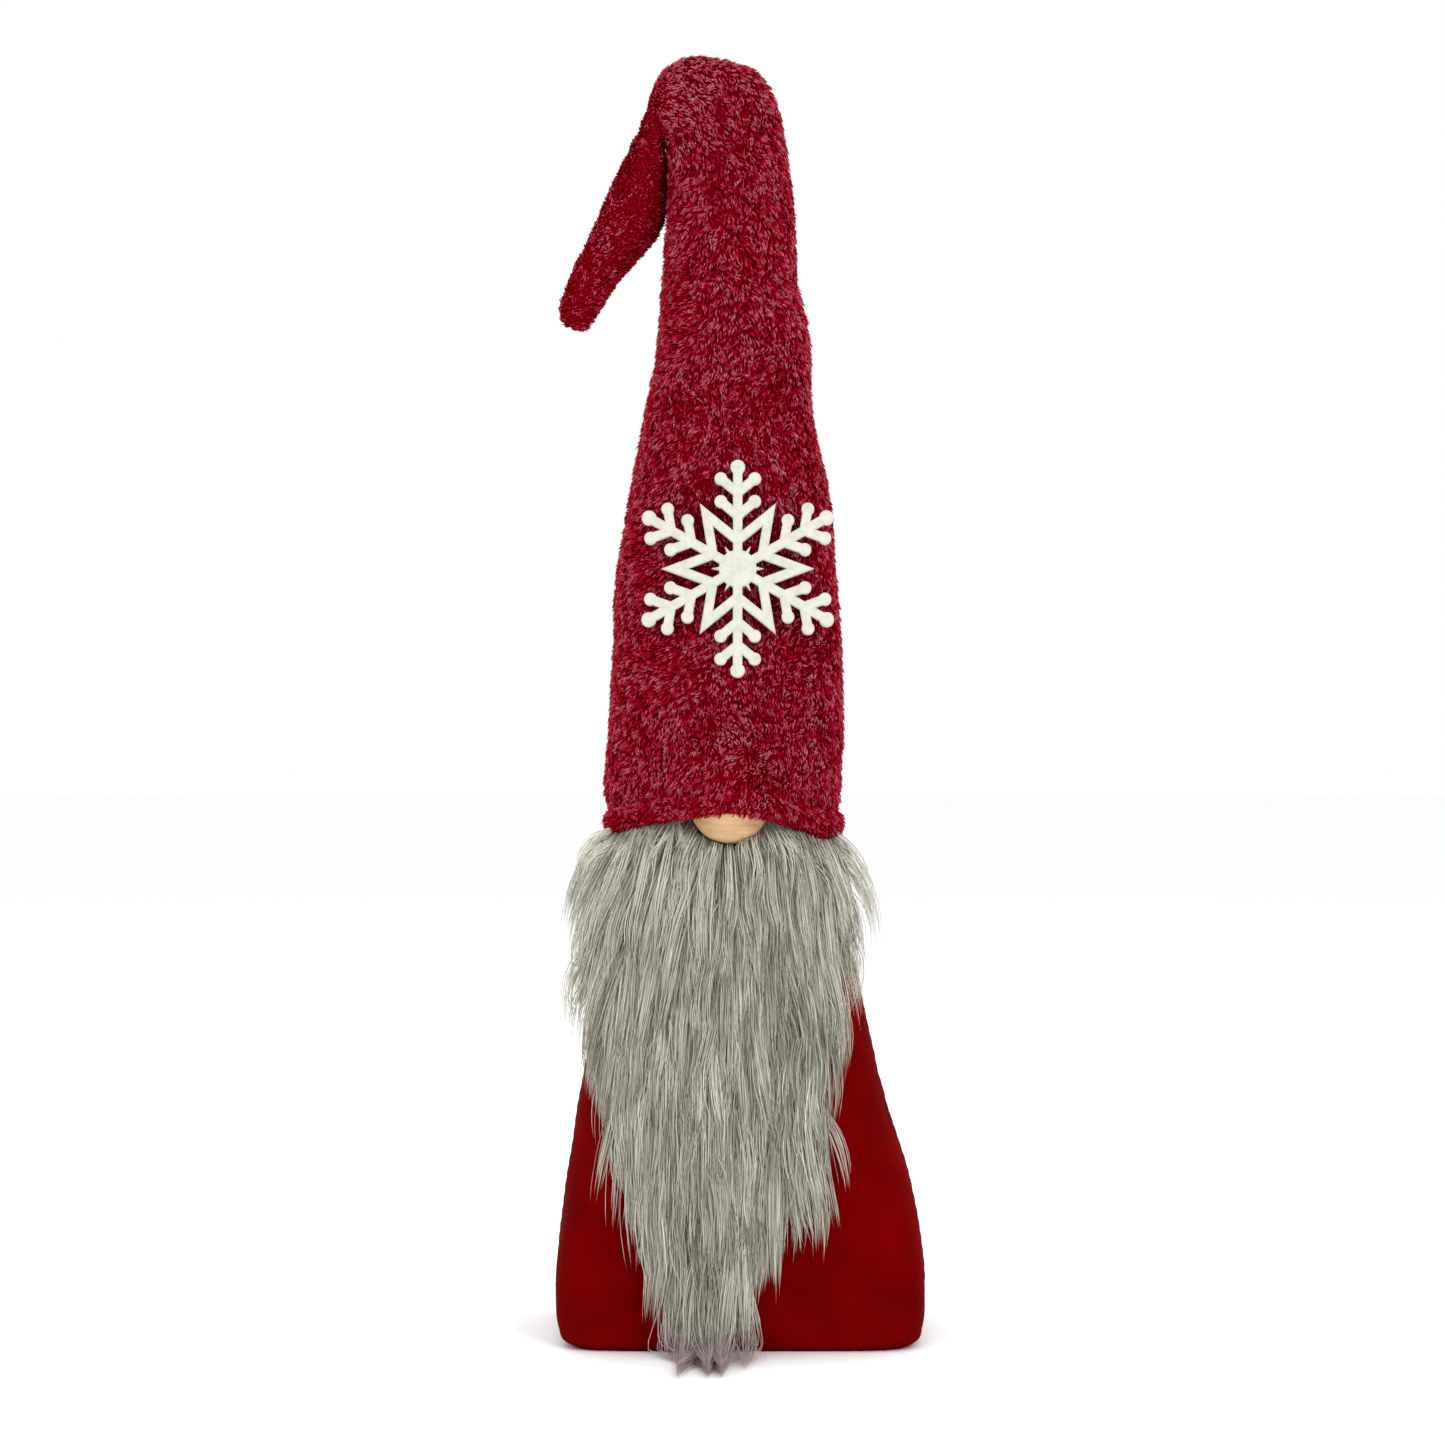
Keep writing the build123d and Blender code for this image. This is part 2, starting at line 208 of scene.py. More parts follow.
def tube_mesh(name, grid):
    """Closed mesh from a grid of rings, with its ends capped at their middles."""
    rings, around, _ = grid.shape
    ends = np.array([grid[0].mean(axis=0), grid[-1].mean(axis=0)])
    points = np.concatenate([grid.reshape(-1, 3), ends])
    return mesh_from_faces(name, points, tube_faces(rings, around))


def sheet_mesh(name, front, thickness):
    """Closed thin sheet: a grid of points, and the same grid set back along its normals."""
    rows, columns, _ = front.shape
    normals = unit(np.cross(np.gradient(front, axis=1), np.gradient(front, axis=0)))
    back = front - normals * thickness
    points = np.concatenate([front.reshape(-1, 3), back.reshape(-1, 3)])
    size = rows * columns
    faces = []
    for row in range(rows - 1):
        for column in range(columns - 1):
            a = row * columns + column
            b, c, d = a + 1, a + columns + 1, a + columns
            faces.append((a, b, c, d))
            faces.append((size + a, size + d, size + c, size + b))
    rim = list(range(columns))
    rim += [row * columns + columns - 1 for row in range(1, rows)]
    rim += [(rows - 1) * columns + column for column in range(columns - 2, -1, -1)]
    rim += [row * columns for row in range(rows - 2, 0, -1)]
    for here, after in zip(rim, rim[1:] + rim[:1]):
        faces.append((after, here, size + here, size + after))
    return mesh_from_faces(name, points, faces)


STUFFING_PRESSURE = 4.0
STUFFING_FRAMES = 20
STUFFING_STEP = 5  # rows and columns between the points that are simulated
STUFFING_QUALITY = 6


def settle(trial):
    """Runs the cloth of a trial object and gives its points as they end."""
    scene = bpy.context.scene
    for frame_number in range(1, STUFFING_FRAMES + 1):
        scene.frame_set(frame_number)
    settled = trial.evaluated_get(bpy.context.evaluated_depsgraph_get()).data
    points = np.empty(len(settled.vertices) * 3)
    settled.vertices.foreach_get("co", points)
    scene.frame_set(1)
    return points.reshape(-1, 3)


def spread_back(moves, rows, columns, shape):
    """Moves of the simulated points, carried to every point of the fine ring grid."""
    around = np.append(columns, shape[1])
    moves = np.concatenate([moves, moves[:, :1]], axis=1)
    every_column = np.arange(shape[1])
    wide = np.empty((len(rows), shape[1], 3))
    for row in range(len(rows)):
        wide[row] = through(around, moves[row], every_column)
    tall = through(rows, wide.reshape(len(rows), -1), np.arange(shape[0]))
    return tall.reshape(shape)


def stuffed(grid, sewn, cap):
    """A ring grid after a short cloth simulation with pressure inside. Sewn places stay put,
    none moves further than the cap, and the whole keeps its size on average."""
    rows = np.unique(np.append(np.arange(0, grid.shape[0], STUFFING_STEP), grid.shape[0] - 1))
    columns = np.arange(0, grid.shape[1], STUFFING_STEP)
    coarse = grid[np.ix_(rows, columns)]
    trial = link("stuffing_trial", tube_mesh("stuffing_trial", coarse))
    group = trial.vertex_groups.new(name="sewn")
    held = np.flatnonzero(np.append(sewn[np.ix_(rows, columns)].ravel(), [True, True]))
    group.add([int(index) for index in held], 1.0, "REPLACE")
    cloth = trial.modifiers.new("cloth", "CLOTH")
    cloth.settings.use_pressure = True
    cloth.settings.uniform_pressure_force = STUFFING_PRESSURE
    cloth.settings.vertex_group_mass = "sewn"
    cloth.settings.effector_weights.gravity = 0.0
    cloth.settings.quality = STUFFING_QUALITY
    moves = settle(trial)[:-2].reshape(coarse.shape) - coarse
    mesh = trial.data
    bpy.data.objects.remove(trial)
    bpy.data.meshes.remove(mesh)
    far = np.linalg.norm(moves, axis=-1, keepdims=True)
    moves *= np.minimum(1, cap / np.maximum(far, 1e-9))
    out = (moves * grid_normals(coarse)).sum(axis=-1)
    moves -= grid_normals(coarse) * out.mean()
    return grid + spread_back(moves, rows, columns, grid.shape)


# ---- materials ----
def material(name, colour, roughness, sheen=0.0, sheen_tint=(1, 1, 1), shine=0.3):
    """A principled material and its shader node."""
    made = bpy.data.materials.new(name)
    made.use_nodes = True
    shader = made.node_tree.nodes["Principled BSDF"]
    shader.inputs["Base Color"].default_value = (*colour, 1)
    shader.inputs["Roughness"].default_value = roughness
    shader.inputs["Sheen Weight"].default_value = sheen
    shader.inputs["Sheen Tint"].default_value = (*sheen_tint, 1)
    shader.inputs["Specular IOR Level"].default_value = shine
    return made, shader


def node(made, kind, **values):
    """New shader node with its inputs set by name."""
    added = made.node_tree.nodes.new(kind)
    for key, value in values.items():
        added.inputs[key.replace("_", " ")].default_value = value
    return added


def wire(made, start, end):
    """Link two sockets."""
    made.node_tree.links.new(start, end)


def place_source(made, stretch=(1, 1, 1)):
    """The object's own coordinates, stretched."""
    source = made.node_tree.nodes.new("ShaderNodeTexCoord")
    mapping = node(made, "ShaderNodeMapping", Scale=stretch)
    wire(made, source.outputs["Object"], mapping.inputs["Vector"])
    return mapping.outputs["Vector"]


def blotches(made, place, scale, detail, colours, low=0.35, high=0.65):
    """Noise that mixes two colours, and its colour and value sockets."""
    texture = node(made, "ShaderNodeTexNoise", Scale=scale, Detail=detail)
    ramp = made.node_tree.nodes.new("ShaderNodeValToRGB")
    ramp.color_ramp.elements[0].position = low
    ramp.color_ramp.elements[1].position = high
    ramp.color_ramp.elements[0].color = (*colours[0], 1)
    ramp.color_ramp.elements[1].color = (*colours[1], 1)
    wire(made, place, texture.inputs["Vector"])
    wire(made, texture.outputs["Fac"], ramp.inputs["Fac"])
    return ramp.outputs["Color"], texture.outputs["Fac"]


def bump(made, shader, height, strength, distance):
    """Surface relief from a height socket."""
    relief = node(made, "ShaderNodeBump", Strength=strength, Distance=distance)
    wire(made, height, relief.inputs["Height"])
    wire(made, relief.outputs["Normal"], shader.inputs["Normal"])


def cloth_material(name, dark, light, grain, mottle, sheen):
    """Napped cloth: mottled colour, fine nap, soft sheen at grazing angles."""
    made, shader = material(name, light, 0.95, sheen, sheen_tint=light, shine=0.015)
    shader.inputs["Sheen Roughness"].default_value = 0.45
    place = place_source(made)
    colour, _ = blotches(made, place, mottle, 4.0, (dark, light))
    wire(made, colour, shader.inputs["Base Color"])
    nap = node(made, "ShaderNodeTexNoise", Scale=grain, Detail=3.0)
    wire(made, place, nap.inputs["Vector"])
    bump(made, shader, nap.outputs["Fac"], 0.5, 0.0004)
    return made


def fibre_material(name, colour, roughness, sheen, shine):
    """One tone of fibre, with fine unevenness along each strand."""
    made, shader = material(name, colour, roughness, sheen, sheen_tint=colour, shine=shine)
    nap = node(made, "ShaderNodeTexNoise", Scale=2200.0, Detail=2.0)
    wire(made, place_source(made, (1, 1, 0.25)), nap.inputs["Vector"])
    bump(made, shader, nap.outputs["Fac"], 0.35, 0.0002)
    return made


def wood_material():
    """Pale turned wood: long grain with darker pores."""
    made, shader = material("turned_wood", (0.62, 0.40, 0.20), 0.5)
    place = place_source(made, (0.35, 1.0, 2.2))
    colour, value = blotches(
        made, place, 130.0, 6.0, ((0.36, 0.195, 0.088), (0.66, 0.43, 0.232)), 0.28, 0.68
    )
    wire(made, colour, shader.inputs["Base Color"])
    bump(made, shader, value, 0.3, 0.0003)
    return made


def paint_material(name, dark, light, roughness=0.6):
    """Brushed paint with slight unevenness."""
    made, shader = material(name, light, roughness)
    colour, value = blotches(made, place_source(made), 420.0, 5.0, (dark, light), 0.3, 0.6)
    wire(made, colour, shader.inputs["Base Color"])
    bump(made, shader, value, 0.25, 0.0003)
    return made


def metal_material():
    """Drawn steel wire."""
    made, shader = material("drawn_steel", (0.55, 0.55, 0.55), 0.35)
    shader.inputs["Metallic"].default_value = 1.0
    colour, value = blotches(
        made, place_source(made, (1, 1, 0.1)), 900.0, 2.0, ((0.4, 0.4, 0.4), (0.62, 0.62, 0.62))
    )
    wire(made, colour, shader.inputs["Base Color"])
    bump(made, shader, value, 0.2, 0.0001)
    return made


velour = cloth_material("velour", (0.108, 0.0, 0.0), (0.146, 0.0, 0.0), 1300.0, 55.0, 0.08)
hat_ground = cloth_material("plush_ground", (0.13, 0.0, 0.002), (0.22, 0.0, 0.005), 900.0, 90.0, 0.1)
knit = cloth_material("backing_knit", (0.20, 0.19, 0.17), (0.30, 0.29, 0.26), 1200.0, 200.0, 0.2)
cotton = cloth_material("bag_cotton", (0.62, 0.59, 0.50), (0.72, 0.70, 0.62), 1800.0, 120.0, 0.2)
filling = cloth_material("fibre_filling", (0.72, 0.72, 0.70), (0.86, 0.86, 0.85), 400.0, 90.0, 0.4)
wood = wood_material()
flake_paint = paint_material("flake_paint", (0.50, 0.51, 0.438), (0.60, 0.60, 0.523))
card = paint_material("base_card", (0.30, 0.22, 0.13), (0.38, 0.28, 0.18), 0.9)
pellet_plastic = paint_material("pellet_plastic", (0.55, 0.55, 0.52), (0.66, 0.66, 0.63), 0.5)
glue = paint_material("hot_glue", (0.66, 0.62, 0.48), (0.75, 0.72, 0.60), 0.35)
steel = metal_material()
floor_paint = paint_material("floor", (0.96, 0.96, 0.96), (0.99, 0.99, 0.99), 0.95)

# plush fibres from deep to frosted, and fur fibres from dark to light
PLUSH_TONES = (
    (0.23, 0.0, 0.003),
    (0.32, 0.0, 0.008),
    (0.41, 0.004, 0.027),
    (0.465, 0.055, 0.090),
    (0.50, 0.124, 0.163),
)
FUR_TONES = (
    (0.105, 0.100, 0.075),
    (0.20, 0.195, 0.150),
    (0.32, 0.315, 0.250),
    (0.45, 0.440, 0.355),
    (0.58, 0.570, 0.475),
    (0.72, 0.700, 0.600),
)
FUR_FLOOR_TONE = (0.50, 0.40, 0.39)  # the tips on the floor, slightly pink
plush_fibres = [
    fibre_material(f"plush_{index}", tone, 0.9, 0.1, 0.03) for index, tone in enumerate(PLUSH_TONES)
]
fur_fibres = [
    fibre_material(f"fur_{index}", tone, 0.55, 0.1, 0.2)
    for index, tone in enumerate(FUR_TONES + (FUR_FLOOR_TONE,))
]


# ---- fibres ----
FIBRE_TAPER = 0.72  # how much narrower a fibre is just before its point


def fibre_mesh(name, paths, widths, tones, materials):
    """Closed three-sided fibres that taper to a point. paths is (fibres, points, 3);
    tones is (fibres, points - 1), the material of each stretch."""
    count, points, _ = paths.shape
    tangent = unit(np.gradient(paths, axis=1))
    twist = unit(random.normal(size=(count, 1, 3)))
    side = unit(np.cross(tangent, np.broadcast_to(twist, tangent.shape)))
    other = np.cross(tangent, side)
    share = np.linspace(0, 1, points)[:-1]
    radius = widths[:, None] / 2 * (1 - FIBRE_TAPER * share**2.2)[None, :]
    corners = []
    for turn in (0, 2 * math.pi / 3, 4 * math.pi / 3):
        offset = side[:, :-1] * math.cos(turn) + other[:, :-1] * math.sin(turn)
        corners.append(paths[:, :-1] + offset * radius[..., None])
    body = np.stack(corners, axis=2).reshape(count, -1, 3)
    vertices = np.concatenate([body, paths[:, -1:]], axis=1)
    each = vertices.shape[1]
    quads = []
    quad_tone = []
    for ring in range(points - 2):
        for corner in range(3):
            after = (corner + 1) % 3
            low, high = 3 * ring, 3 * (ring + 1)
            quads.append((low + corner, low + after, high + after, high + corner))
            quad_tone.append(ring)
    last = 3 * (points - 2)
    triangles = [(2, 1, 0)]
    triangles += [(last + corner, last + (corner + 1) % 3, each - 1) for corner in range(3)]
    triangle_tone = [0] + [points - 2] * 3
    start = np.arange(count)[:, None, None] * each
    quad_corners = (np.array(quads)[None] + start).reshape(-1)
    triangle_corners = (np.array(triangles)[None] + start).reshape(-1)
    quad_count, triangle_count = count * len(quads), count * len(triangles)
    mesh = bpy.data.meshes.new(name)
    mesh.vertices.add(count * each)
    mesh.vertices.foreach_set("co", vertices.astype(np.float32).ravel())
    mesh.loops.add(len(quad_corners) + len(triangle_corners))
    loops = np.concatenate([quad_corners, triangle_corners]).astype(np.int32)
    mesh.loops.foreach_set("vertex_index", loops)
    mesh.polygons.add(quad_count + triangle_count)
    starts = np.concatenate(
        [np.arange(quad_count) * 4, quad_count * 4 + np.arange(triangle_count) * 3]
    ).astype(np.int32)
    mesh.polygons.foreach_set("loop_start", starts)
    tone = np.concatenate([tones[:, quad_tone].ravel(), tones[:, triangle_tone].ravel()])
    mesh.polygons.foreach_set("material_index", tone.astype(np.int32))
    mesh.polygons.foreach_set("use_smooth", np.ones(quad_count + triangle_count, bool))
    mesh.update(calc_edges=True)
    for fibre in materials:
        mesh.materials.append(fibre)
    return mesh


def pick_tones(level, count):
    """Whole tone numbers from levels that may lie between or outside them."""
    return np.clip(np.rint(level), 0, count - 1).astype(int)


# ---- hat: one continuous skin over the cone, the bend and the hanging tip ----
# inner edge x, z (the side that creases), outer edge x, z, half depth, squareness, middle y
HAT_RINGS = (
    (-50.4, 184.7, 37.6, 184.7, 38.6, 2.6, 0.0),
    (-51.0, 188.6, 38.0, 188.6, 38.9, 2.6, 0.0),
    (-49.6, 193.0, 36.4, 193.0, 38.0, 2.6, 0.0),
    (-50.4, 200.0, 36.9, 200.0, 38.0, 2.6, 0.0),
    (-48.8, 218.0, 37.6, 218.0, 37.2, 2.7, 0.0),
    (-47.2, 239.0, 37.4, 239.0, 35.6, 2.8, 0.0),
    (-46.2, 256.0, 36.8, 256.0, 33.9, 2.9, 0.0),
    (-45.7, 272.0, 35.6, 272.0, 32.6, 3.0, 0.0),
    (-44.0, 287.0, 34.6, 287.0, 31.3, 3.0, 0.0),
    (-41.2, 304.0, 33.0, 304.0, 29.8, 2.9, 0.0),
    (-37.8, 322.0, 29.6, 322.0, 28.3, 2.7, 0.0),
    (-34.4, 341.0, 26.4, 341.0, 26.8, 2.5, 0.0),
    (-30.6, 360.0, 25.6, 360.0, 25.4, 2.3, 0.0),
    (-29.6, 374.0, 24.2, 374.0, 24.6, 2.2, 0.0),
    (-29.4, 386.0, 21.2, 386.0, 23.6, 2.2, 0.0),
    (-28.6, 396.0, 20.3, 396.0, 22.8, 2.2, 0.0),
    (-27.2, 414.0, 19.6, 414.0, 21.2, 2.2, 0.0),
    (-26.6, 430.0, 18.2, 430.0, 19.6, 2.2, 0.0),
    (-26.8, 437.0, 16.4, 443.0, 18.8, 2.4, 0.2),
    (-27.0, 438.2, 12.4, 456.5, 18.4, 2.6, 0.4),
    (-27.2, 438.9, 5.8, 465.2, 18.2, 2.6, 0.6),
    (-27.4, 439.4, -5.6, 469.4, 17.9, 2.6, 0.8),
    (-27.6, 439.7, -18.6, 470.8, 17.0, 2.5, 1.2),
    (-27.8, 439.8, -27.4, 466.2, 16.4, 2.4, 2.0),
    (-27.9, 439.5, -32.4, 457.2, 15.8, 2.3, 3.2),
    (-27.9, 438.4, -35.0, 449.0, 15.2, 2.2, 4.6),
    (-26.8, 434.5, -39.8, 439.5, 14.4, 2.1, 6.0),
    (-26.8, 425.0, -44.8, 430.0, 13.2, 2.0, 7.0),
    (-27.3, 415.0, -49.4, 421.5, 12.2, 2.0, 7.2),
    (-31.6, 404.6, -53.6, 412.4, 11.2, 2.0, 7.2),
    (-39.6, 395.8, -56.9, 404.2, 10.0, 2.0, 7.2),
    (-47.5, 386.6, -61.4, 394.0, 8.6, 2.0, 7.0),
    (-52.9, 378.2, -65.0, 385.0, 7.2, 2.0, 6.8),
    (-56.4, 373.0, -66.9, 378.6, 5.8, 2.0, 6.6),
    (-58.5, 371.0, -66.0, 374.6, 4.0, 2.0, 6.6),
    (-60.8, 370.9, -63.8, 372.2, 1.6, 2.0, 7.0),
)
HAT_SPLIT_RING = 23  # the table row where the fold's tube is cut into hat and tip
HAT_AROUND = 200
HAT_STEP = 1.35  # mm between rings
HAT_MEAN_RADIUS = 0.036  # turns an angle at the back seam into a distance from it
PILE_DEPTH = 0.0012  # the rings are the outside of the pile; the cloth lies this far below
HEM_HEIGHT = 0.1850
HEM_ARCH = 0.0076  # how far the hem rises over the nose
HEM_REACH = (0.046, 0.033)  # width of the hem's arch, left and right of the nose
HEM_PEAK = (0.0012, 0.017)  # rise and width of the small peak right above the ball
NOSE_COVER = 0.0022  # from the ball to the outside of the cloth stretched over it
TENT_TALL = 0.62  # below 1, the stretched place is taller above the ball than beside it
TENT_REACH = 1.25  # how far the stretched place goes, in radii
CREASE = np.array([-0.0277, 0.004, 0.4396])  # the sharp inner side of the fold
nose_middle = middle("nose")
nose_low, nose_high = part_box("nose")
nose_radius = (nose_high[0] - nose_low[0]) / 2
nose_middle.y = nose_low[1] + nose_radius


def ring_points(ring, angles):
    """Points of one hat ring, in metres; angle 0 is the outer edge, a quarter turn the back."""
    inner = np.array([ring[0], 0, ring[1]])
    outer = np.array([ring[2], 0, ring[3]])
    centre = (inner + outer) / 2 + np.array([0, ring[6], 0])
    half = (outer - inner) / 2
    size = bulge(angles, ring[5])
    across = (size * np.cos(angles))[:, None] * half[None]
    depth = (size * np.sin(angles))[:, None] * np.array([[0, ring[4], 0]])
    return (centre[None] + across + depth) * MM


def hat_grid():
    """Rings of the whole hat from the hem to the end of the tip, and each one's table place."""
    rings = np.array(HAT_RINGS)
    centres = (rings[:, [0, 1]] + rings[:, [2, 3]]) / 2
    # rows lie apart by the middle line, or by the outer edge where it swings round the bend
    run = np.linalg.norm(np.diff(centres, axis=0), axis=1)
    turn = np.linalg.norm(np.diff(rings[:, [2, 3]], axis=0), axis=1) * 0.6
    place = np.concatenate([[0], np.cumsum(np.maximum(run, turn))])
    count = int(place[-1] / HAT_STEP)
    at = np.linspace(0, place[-1], count)
    smooth = through(place, rings, at)
    angles = np.linspace(0, 2 * math.pi, HAT_AROUND, endpoint=False)
    grid = np.array([ring_points(ring, angles) for ring in smooth])
    row = np.interp(at, place, np.arange(len(rings)))
    return grid, row, angles


def hem_lift(x):
    """How far the hem rises over the nose, at a place to its side."""
    away = x - nose_middle.x
    reach = np.abs(away) / np.where(away < 0, HEM_REACH[0], HEM_REACH[1])
    peak, width = HEM_PEAK
    return HEM_ARCH * np.clip(1 - reach**2, 0, 1) ** 0.8 + peak * bell(away, width)


def lift_hem(grid, cone):
    """Raises the front of the hem over the nose."""
    front = smoothstep(0.0, -0.02, grid[..., 1])
    low = 1 - smoothstep(0.186, 0.225, grid[..., 2])
    grid[..., 2] += hem_lift(grid[..., 0]) * front * low * cone


def drape_over_nose(grid, cone):
    """Stretches the front of the cloth over the ball, like a tent."""
    y = grid[..., 1]
    clear = nose_radius + NOSE_COVER
    dx, dz = grid[..., 0] - nose_middle.x, grid[..., 2] - nose_middle.z
    around = np.sqrt(dx**2 + (dz * np.where(dz > 0, TENT_TALL, 1.0)) ** 2)
    surface = nose_middle.y - np.sqrt(np.clip(clear**2 - np.minimum(around, clear) ** 2, 0, None))
    spread = np.exp(-((around / (clear * TENT_REACH)) ** 2.4))
    tent = y - np.clip(y - (nose_middle.y - clear), 0, None) * spread
    tent = np.where(around < clear, np.minimum(tent, surface), tent)
    grid[..., 1] = np.where((y < 0) & cone, np.minimum(y, tent), y)


def from_back_seam(angles):
    """Distance round the hat from the seam at its back."""
    return (angles - math.pi / 2) * HAT_MEAN_RADIUS


def shape_hat(grid, row, angles):
    """Lifts the hem over the nose, drapes the cloth over the ball, and adds dents and folds."""
    normals = grid_normals(grid)
    cone = row[:, None] < HAT_SPLIT_RING
    lift_hem(grid, cone)
    drape_over_nose(grid, cone)
    # soft dents of the stuffed cloth, and small folds that fan out of the crease
    soft = ripple(grid, 0.045, 1) * 0.0011 + ripple(grid, 0.016, 2) * 0.00045
    away = np.linalg.norm((grid - CREASE) * np.array([1, 0.35, 1]), axis=-1)
    fan = np.arctan2(grid[..., 2] - CREASE[2], grid[..., 0] - CREASE[0])
    folds = np.sin(fan * 9 + ripple(grid, 0.02, 3) * 2.0)
    folds *= bell(away, 0.017) * smoothstep(0.001, 0.006, away)
    # the cloth swells just above the crease and sinks just below it
    lip = bell(row - 22.6, 1.0) * 0.0008 - bell(row - 25.2, 0.8) * 0.0010
    grid += normals * (lip[:, None] * bell(away, 0.011))[..., None]
    bend = smoothstep(HAT_SPLIT_RING - 6, HAT_SPLIT_RING + 1, row)[:, None]
    depth = PILE_DEPTH * (1 - 0.65 * bend)
    seam = bell(from_back_seam(angles), 0.0013)[None, :] * 0.0010 * cone
    grid += normals * (soft + folds * 0.0005 - depth - seam)[..., None]
    # the turned hem is pinched along its row of stitches
    stitch = bell(row - 2.0, 0.35)[:, None] * 0.0009
    pucker = 1 + 0.25 * np.sin(angles[None, :] * 58)
    return grid - normals * (stitch * pucker)[..., None]


hat, hat_row, hat_angles = hat_grid()
hat = shape_hat(hat, hat_row, hat_angles)
hat_normals = grid_normals(hat)
split = int(np.argmin(np.abs(hat_row - HAT_SPLIT_RING)))

LINING_ROWS = 32  # rings of the hat that the turned-up hem reaches
LINING_DEPTH = 3.0  # mm inside the cloth
HEM_RADIUS = 1.45  # mm, of the rolled lower edge


def hem_lining(grid, normals):
    """The turned-up inside of the hem and its rolled lower edge, from deep inside downwards."""
    inside = [grid[row] - normals[row] * LINING_DEPTH * MM for row in range(LINING_ROWS, 2, -3)]
    edge = grid[0]
    inward = unit((edge.mean(axis=0) - edge) * np.array([1, 1, 0]))
    rolled = []
    for turn in np.linspace(math.pi * 0.9, math.pi * 0.1, 5):
        across = HEM_RADIUS * (1 - math.cos(turn))
        drop = HEM_RADIUS * math.sin(turn)
        rolled.append(edge + (inward * across - np.array([0, 0, drop])) * MM)
    return np.array(inside + rolled)


lining = hem_lining(hat, hat_normals)
hat_skin = link("hat_skin", tube_mesh("hat_skin", np.concatenate([lining, hat[: split + 1]])))
hat_skin.data.materials.append(hat_ground)
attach(hat_skin, "figure")
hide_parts("hat_shell")

tip_skin = link("hat_tip_skin", tube_mesh("hat_tip_skin", hat[split:]))
tip_skin.data.materials.append(hat_ground)
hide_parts("hat_tip_shell")
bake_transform(tip_skin)

# the filling of the tip bends with the skin, inside it
TIP_CORE_SHARE = 0.74  # of the skin's thickness
tip_core = hat[split + 3 : -6]
core_line = tip_core.mean(axis=1, keepdims=True)
tip_core = core_line + (tip_core - core_line) * TIP_CORE_SHARE
tip_stuffing = link("hat_tip_stuffing", tube_mesh("hat_tip_stuffing", tip_core))
tip_stuffing.data.materials.append(filling)
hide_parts("hat_tip_filling")
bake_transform(tip_stuffing)

# ---- plush of the hat ----
PLUSH_COUNT = 96000
PLUSH_SPLIT = 5
PLUSH_LENGTH = (2.0, 3.8)  # mm
PLUSH_RISE = (0.28, 0.80)  # how far a fibre stands up, as a share of its length
PLUSH_WIDTH = (0.48, 0.80)  # mm
PLUSH_PER_TUFT = 6
PLUSH_LEVEL = 1.85  # mean place among the tones
BEND_SIDE = np.array([-0.030, 0.0, 0.453])  # where the plush at the bend is palest: frosted pile with a painted highlight on the bulge
PILE_UNDER = 4  # rings of the rolled lower edge that carry pile too


def scatter(grid, count):
    """Random places on a ring grid, even by area: ring and around positions, with fractions."""
    quad_a = np.roll(grid, -1, axis=1)[:-1] - grid[:-1]
    quad_b = grid[1:] - grid[:-1]
    area = np.linalg.norm(np.cross(quad_a, quad_b), axis=-1)
    chosen = random.choice(area.size, size=count, p=(area / area.sum()).ravel())
    rings, around = np.unravel_index(chosen, area.shape)
    return rings, around, random.random(count), random.random(count)


def on_grid(values, rings, around, u, v):
    """Values of a ring grid at scattered places."""
    after = (around + 1) % values.shape[1]
    low = values[rings, around] * (1 - u)[:, None] + values[rings, after] * u[:, None]
    high = values[rings + 1, around] * (1 - u)[:, None] + values[rings + 1, after] * u[:, None]
    return low * (1 - v)[:, None] + high * v[:, None]


def tuft_of(points, tufts):
    """The number of the nearest tuft to each point."""
    tree = KDTree(len(tufts))
    for index, place in enumerate(tufts):
        tree.insert(place, index)
    tree.balance()
    return np.array([tree.find(point)[1] for point in points])


def plush_paths(grid, normals, angles):
    """Short pile, brushed downwards in small whorls, whose ends gather into tufts. Gives the
    paths, the roots, the ring of each root, and the fibre that leads each one's tuft."""
    count = PLUSH_COUNT
    rings, around, u, v = scatter(grid, count)
    root = on_grid(grid, rings, around, u, v)
    outward = unit(on_grid(normals, rings, around, u, v))
    down_cloth = unit(on_grid(-np.gradient(grid, axis=0), rings, around, u, v))
    sideways = np.cross(outward, down_cloth)
    heading = ripple(root, 0.004, 5) * 1.1 + ripple(root, 0.028, 6) * 1.2 - 0.30
    heading += 0.35 * np.clip((root[:, 0] + 0.005) / 0.030, -1, 1) + random.normal(0, 0.36, count)
    lie = down_cloth * np.cos(heading)[:, None] + sideways * np.sin(heading)[:, None]
    short = 0.55 + 0.45 * smoothstep(2, 9, rings)
    short *= 1 - 0.36 * smoothstep(tip_start - 20, tip_start + 10, rings)
    short *= 1 - 0.5 * bell(from_back_seam(angles[around]), 0.0012)
    length = random.uniform(*PLUSH_LENGTH, count) * MM * short
    rise = random.uniform(*PLUSH_RISE, count)
    end = root + (lie + outward * rise[:, None]) * length[:, None]
    tuft = tuft_of(root, root[: count // PLUSH_PER_TUFT])
    gather = random.uniform(0.15, 0.60, count)[:, None] * short[:, None]
    end += (end[tuft] - end) * gather
    bow = root * 0.5 + end * 0.5 + outward * (length * 0.16)[:, None]
    return np.stack([root - outward * 0.0002, bow, end], axis=1), root, rings, tuft


